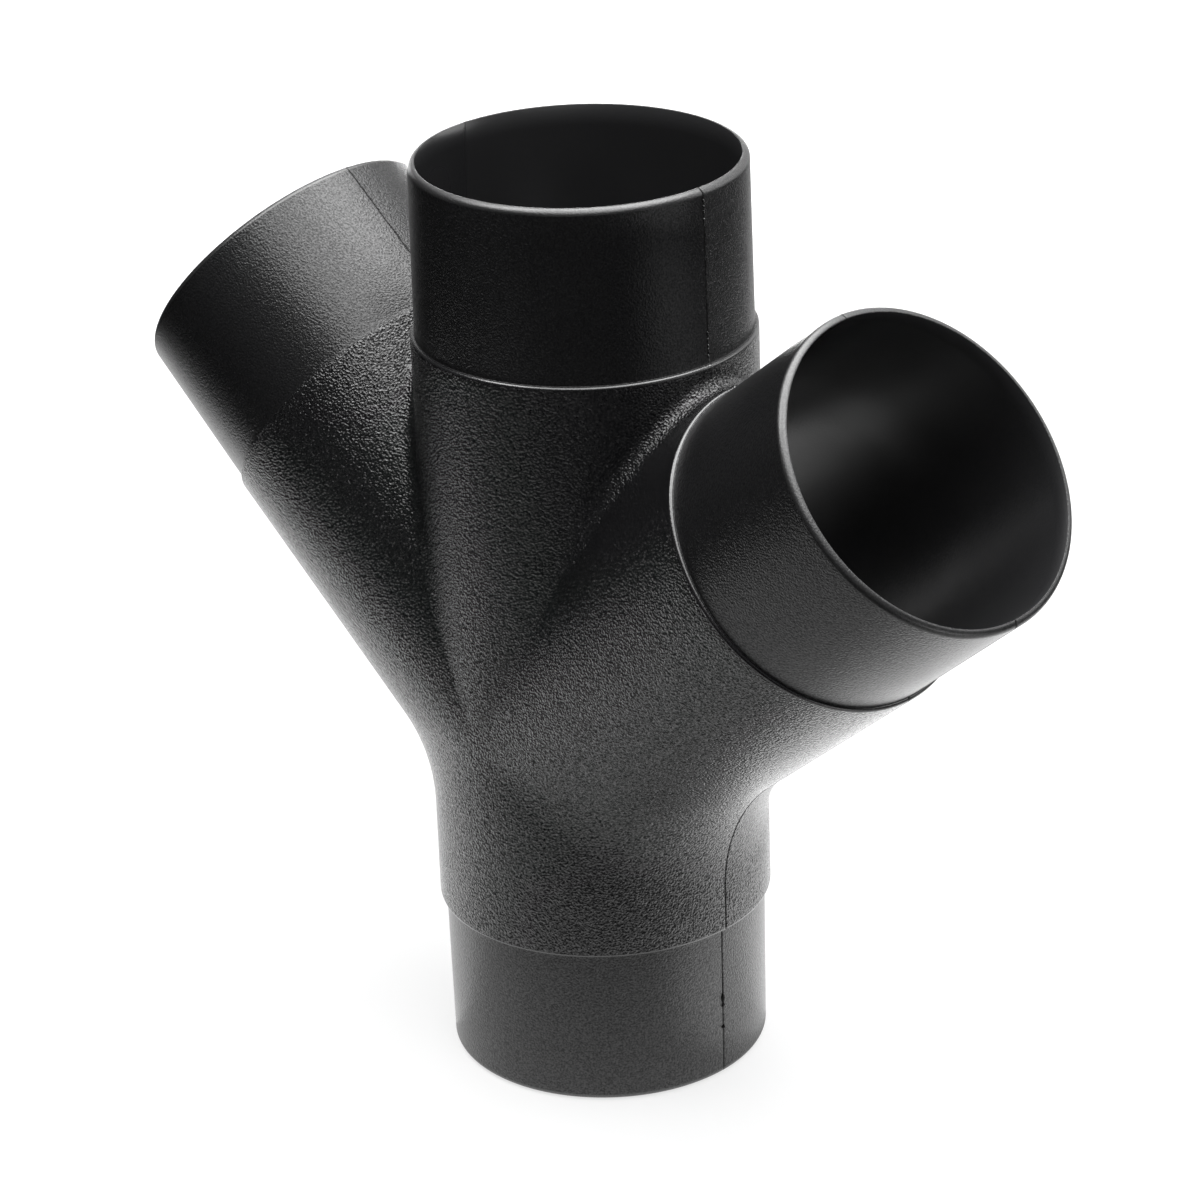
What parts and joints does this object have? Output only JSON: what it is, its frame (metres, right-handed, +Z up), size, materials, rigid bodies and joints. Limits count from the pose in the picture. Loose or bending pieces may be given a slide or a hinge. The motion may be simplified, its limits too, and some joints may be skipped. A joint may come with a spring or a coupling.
{
  "type": "three-way duct connector",
  "caption": "Hollow black moulded duct splitter: a round inlet spigot below, one straight outlet and two slanted outlets above, all open to one chamber.",
  "frame": {"origin": "centre of the inlet's rim, on the surface that the part stands on", "axes": "+Z up the inlet and out of the straight outlet, +X towards the right-hand outlet, in the plane of all four tubes; the mould's joint lies in the plane Y = 0"},
  "size_m": [0.3272, 0.1026, 0.2866],
  "materials": {
    "duct_connector": "fine moulded grain, satin"
  },
  "bodies": {
    "root": {"duct_connector": "duct_connector"}
  },
  "joints": []
}
